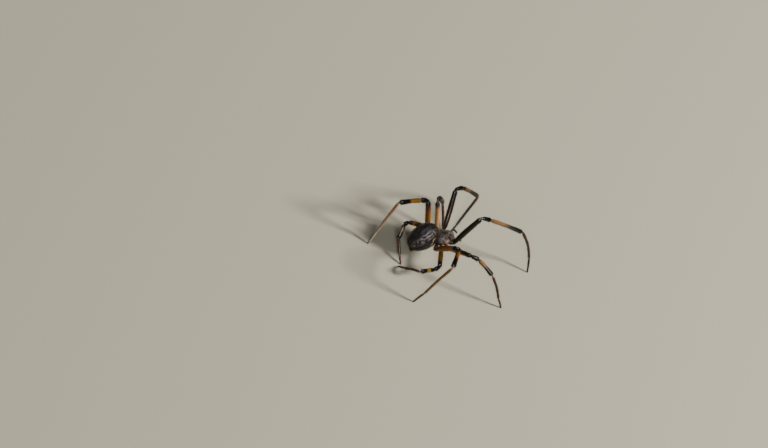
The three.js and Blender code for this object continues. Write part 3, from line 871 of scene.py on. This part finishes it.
# Leg hairs: they stand all round each length, counted by the millimetre and closest on the
# last two. The last pair's tarsi carry the comb of stout bristles that draws out the silk.
HAIR_LENGTHS = (0.3, 0.34, 0.34, 0.36, 0.33, 0.26)
HAIR_RADIUS = 0.011
SHELL_HAIRS, FOOT_HAIRS = 70, 80
HAIR_SHADE = (0.5, 0.47, 0.45, 1.0)
COMB_TEETH = 12
COMB_LENGTH = 0.42
COMB_RADIUS = 0.02
for index, (leg, (points, rings)) in enumerate(legs.items()):
    hairs = []
    shell = (COXA_RADIUS,) + PAIRS[int(leg[-1]) - 1][2]
    for before, after in zip(rings[:-1], rings[1:]):
        kind = min(5, int(before[3]))
        if after[3] - before[3] > 0.5 or int(after[3]) != kind:
            continue
        reach = (after[0] - before[0]).length / MM
        wanted = reach * (SHELL_HAIRS if kind < 4 else FOOT_HAIRS)
        for _ in range(int(wanted) + (random.random() < wanted % 1)):
            t = random.random()
            turn = random.uniform(0, 2 * math.pi)
            heading = before[1].lerp(after[1], t).normalized()
            out = Matrix.Rotation(turn, 3, heading) @ heading.orthogonal().normalized()
            radius = before[2] + (after[2] - before[2]) * t
            root = before[0].lerp(after[0], t) + out * radius * 0.97
            rise = math.radians(random.uniform(22, 46))
            lean = heading * math.cos(rise) + out * math.sin(rise)
            length = HAIR_LENGTHS[kind] * random.uniform(0.6, 1.15)
            mark = before[3] + (after[3] - before[3]) * t
            patch = ((index + 0.1 + 0.8 * turn / (2 * math.pi)) / 8, 0.05 + 0.15 * mark)
            hairs.append((root, lean, heading, length, HAIR_RADIUS, (mark, 0.0), patch))
    if leg.endswith("4"):
        start, end = points[5], points[6]
        along = (end - start).normalized()
        down = (along * along.z - UP).normalized()
        for i in range(COMB_TEETH):
            t = 0.2 + 0.7 * i / (COMB_TEETH - 1)
            root = start.lerp(end, t) + down * shell[5] * 0.85 * MM
            lean = (along * 0.75 + down * 0.66).normalized()
            patch = ((index + 0.95) / 8, 0.8 + 0.15 * t)
            mark = (5.0 + t, 0.0)
            hairs.append((root, lean, along, COMB_LENGTH, COMB_RADIUS, mark, patch))
    hair_finish = finish(
        f"leg_{leg}_hair", None, 0.45, 9000.0, 0.001, (),
        leg_paint(LEG_BANDS[leg], HAIR_SHADE),
    )
    coat(f"leg_{leg}_hairs", hairs, hair_finish)


# Body hairs: the abdomen's are dark and lie back towards the tail, the shield's are short
# and grey-brown, and the feelers carry dark brown ones.
ABDOMEN_HAIRS = 3600
SHIELD_HAIRS = 1300
PALP_HAIRS = 13
PALP_HAIR_RADIUS = 0.01
hairs = []
for _ in range(ABDOMEN_HAIRS):
    share = random.uniform(-0.96, 0.97)
    around = random.uniform(-math.pi, math.pi)
    if random.random() > math.sqrt(1 - share * share) + 0.15:
        continue
    root = abdomen_spot(share, around)
    back = (abdomen_spot(max(-0.99, share - 0.03), around) - root).normalized()
    side = (abdomen_spot(share, around + 0.03) - root).normalized()
    out = side.cross(back).normalized()
    if out.dot(root / MM - ABDOMEN_MIDDLE) < 0:
        out = -out
    rise = math.radians(random.uniform(22, 48))
    lean = (back * math.cos(rise) + out * math.sin(rise)).normalized()
    length = random.uniform(0.2, 0.4)
    patch = (0.02 + 0.96 * (around + math.pi) / (2 * math.pi), 0.05 + 0.45 * (share + 1))
    hairs.append((root, lean, back, length, HAIR_RADIUS, (share, abs(around)), patch))


def abdomen_hair_brown(wire):
    """Dark brown with some of the skin's colour, its painted highlight included, where the
    hair is rooted.
    """
    return wire.mix(0.6, widow_black(wire), tint("17110e"))


abdomen_hair_finish = finish(
    "abdomen_hair", None, 0.4, 9000.0, 0.001, (), abdomen_hair_brown
)
coat("abdomen_hairs", hairs, abdomen_hair_finish)

hairs = []
for _ in range(SHIELD_HAIRS):
    unit = Vector((random.uniform(-1, 1), random.uniform(-1, 1), random.uniform(0.05, 1)))
    if not 0.3 < unit.length < 1.0:
        continue
    unit.normalize()
    spot = carapace_spot(unit)
    root = on_body(*spot)
    out = BODY_TURN @ Vector((unit.x * 0.5, unit.y, unit.z * 1.4)).normalized()
    toward = BODY_TURN @ Vector((-0.6 + unit.x * 0.4, -unit.y * 0.8, 0.2)).normalized()
    rise = math.radians(random.uniform(25, 60))
    lean = (toward * math.cos(rise) + out * math.sin(rise)).normalized()
    length = random.uniform(0.16, 0.34)
    patch = (0.5 + 0.45 * unit.x, 0.5 + 0.45 * unit.y)
    hairs.append((root, lean, toward, length, HAIR_RADIUS, (0.0, 0.0), patch))
shield_hair_finish = finish("carapace_hair", "85766b", 0.5, 9000.0, 0.001)
coat("carapace_hairs", hairs, shield_hair_finish)

hairs = []
for side_index, rings in enumerate(palp_lines.values()):
    for before, after in zip(rings[4:-1], rings[5:]):
        for _ in range(PALP_HAIRS):
            t = random.random()
            heading = before[1].lerp(after[1], t).normalized()
            turn = random.uniform(0, 2 * math.pi)
            out = Matrix.Rotation(turn, 3, heading) @ heading.orthogonal().normalized()
            root = before[0].lerp(after[0], t) + out * before[2] * 0.95
            lean = (heading * 0.8 + out * random.uniform(0.35, 0.8)).normalized()
            length = random.uniform(0.16, 0.3)
            patch = ((side_index + 0.1 + 0.8 * turn / 6.3) / 2, 0.05 + 0.9 * before[3])
            mark = (before[3], 0.0)
            hairs.append((root, lean, heading, length, PALP_HAIR_RADIUS, mark, patch))
palp_hair_finish = finish("palp_hair", "30221b", 0.45, 9000.0, 0.001)
coat("palp_hairs", hairs, palp_hair_finish)


# Floor: a plain pale matt surface that the spider stands on. It isn't part of her, so it
# belongs to the stage.
FLOOR_HALF = 0.9
floor_mesh = bmesh.new()
bmesh.ops.create_grid(floor_mesh, x_segments=1, y_segments=1, size=FLOOR_HALF)
plane = bpy.data.meshes.new("floor")
floor_mesh.to_mesh(plane)
floor_mesh.free()
floor = bpy.data.objects.new("floor", plane)
bpy.context.scene.collection.objects.link(floor)
floor_finish = bpy.data.materials.new("floor_matt")
floor_finish.use_nodes = True
matt = floor_finish.node_tree.nodes["Principled BSDF"]
matt.inputs["Base Color"].default_value = tint("a59f8a")
matt.inputs["Roughness"].default_value = 0.85
floor.data.materials.append(floor_finish)


# Camera: a long lens above and behind her right side, leaning so that the floor climbs to
# the right as it does in the photograph.
VIEW_TURN = math.radians(42)
VIEW_HEIGHT = math.radians(42)
VIEW_LEAN = math.radians(27)
PICTURE = (768, 448)
PIXEL = 0.21
DISTANCE = 2000.0
SENSOR = 36.0
HEAD_PIXEL = (441, 239)
HEAD_HEIGHT = 3.36
look_right = Vector((math.cos(VIEW_TURN), -math.sin(VIEW_TURN), 0.0))
look_away = Vector((math.sin(VIEW_TURN), math.cos(VIEW_TURN), 0.0))
look_up = look_away * math.sin(VIEW_HEIGHT) + UP * math.cos(VIEW_HEIGHT)
look_back = UP * math.sin(VIEW_HEIGHT) - look_away * math.cos(VIEW_HEIGHT)
cam_right = look_right * math.cos(VIEW_LEAN) + look_up * math.sin(VIEW_LEAN)
cam_up = look_up * math.cos(VIEW_LEAN) - look_right * math.sin(VIEW_LEAN)
target = BODY_PLACE + UP * HEAD_HEIGHT
target -= cam_right * (HEAD_PIXEL[0] - PICTURE[0] / 2) * PIXEL
target += cam_up * (HEAD_PIXEL[1] - PICTURE[1] / 2) * PIXEL
camera_data = bpy.data.cameras.new("camera")
camera_data.sensor_width = SENSOR
camera_data.lens = SENSOR * DISTANCE / (PICTURE[0] * PIXEL)
camera_data.clip_start = 0.01
camera_data.clip_end = 10.0
camera = bpy.data.objects.new("camera", camera_data)
axes = Matrix((cam_right, cam_up, look_back)).transposed().to_4x4()
camera.matrix_world = Matrix.Translation((target + look_back * DISTANCE) * MM) @ axes
bpy.context.scene.collection.objects.link(camera)
bpy.context.scene.camera = camera


# Light: a lamp on the right throws her shadow to the left and is left out of reflections,
# which keeps sparks off the knees. A weak lamp near the camera lifts the near side, and a
# wide one overhead, seen only in reflections, draws the thin light lines along the legs.
def lamp(name, towards, distance, size, power):
    """A square lamp that faces the spider from a direction in the part's frame."""
    data = bpy.data.lights.new(name, "AREA")
    data.size = size
    data.energy = power
    made = bpy.data.objects.new(name, data)
    direction = towards.normalized()
    made.location = direction * distance
    made.rotation_euler = direction.to_track_quat("Z", "Y").to_euler()
    bpy.context.scene.collection.objects.link(made)
    return made


beside = look_right * 0.88 + look_away * 0.2 + UP * 0.52
lamp("shadow_lamp", beside, 0.9, 0.16, 21.5).visible_glossy = False
front = cam_right * 0.1 - cam_up * 0.14 + look_back * 0.99
lamp("front_lamp", front, 1.0, 0.2, 3.8)
sheen = cam_right * 0.09 + cam_up * 0.48 + look_back * 0.87
lamp("sheen_lamp", sheen, 1.1, 0.7, 20.0).visible_diffuse = False
world = bpy.data.worlds.new("surround")
world.use_nodes = True
surround = world.node_tree.nodes["Background"]
surround.inputs["Color"].default_value = (1.0, 0.98, 0.95, 1.0)
surround.inputs["Strength"].default_value = 0.08
bpy.context.scene.world = world
